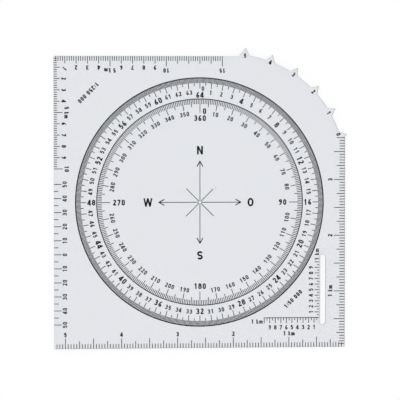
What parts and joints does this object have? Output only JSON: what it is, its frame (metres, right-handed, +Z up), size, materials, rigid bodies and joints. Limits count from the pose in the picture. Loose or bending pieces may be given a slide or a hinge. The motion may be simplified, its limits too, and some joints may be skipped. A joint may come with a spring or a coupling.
{
  "type": "map protractor",
  "caption": "Clear square map protractor with mil and degree circles, map scales along its edges, a marking slot and a toothed corner for stepping off a route.",
  "frame": {"origin": "centre of the dial's thread hole, on the underside that lies on the map", "axes": "+Z up through the sheet towards the reader; +Y towards the dial's north mark; +X towards its east mark"},
  "size_m": [0.1046, 0.1069, 0.001],
  "materials": {
    "clear_sheet": "clear gloss",
    "clear_film": "clear satin",
    "black_ink": "matt printed ink"
  },
  "bodies": {
    "root": {"base_sheet": "clear_sheet", "cover_film": "clear_film", "mil_ring": "black_ink", "mil_marks_50": "black_ink", "mil_marks_100": "black_ink", "mil_numbers": "black_ink", "mil_numbers_bold": "black_ink", "degree_ring": "black_ink", "degree_marks_5": "black_ink", "degree_marks_10": "black_ink", "degree_numbers": "black_ink", "degree_numbers_bold": "black_ink", "rose_arrows": "black_ink", "rose_diagonals": "black_ink", "rose_letters": "black_ink", "coarse_scale_marks": "black_ink", "coarse_scale_numbers": "black_ink", "coarse_scale_title": "black_ink", "fine_scale_marks": "black_ink", "fine_scale_numbers": "black_ink", "fine_scale_title": "black_ink", "sighting_ruler_marks": "black_ink", "sighting_ruler_numbers": "black_ink", "romer_marks": "black_ink", "romer_numbers": "black_ink", "rolling_edge_numbers": "black_ink"}
  },
  "joints": []
}
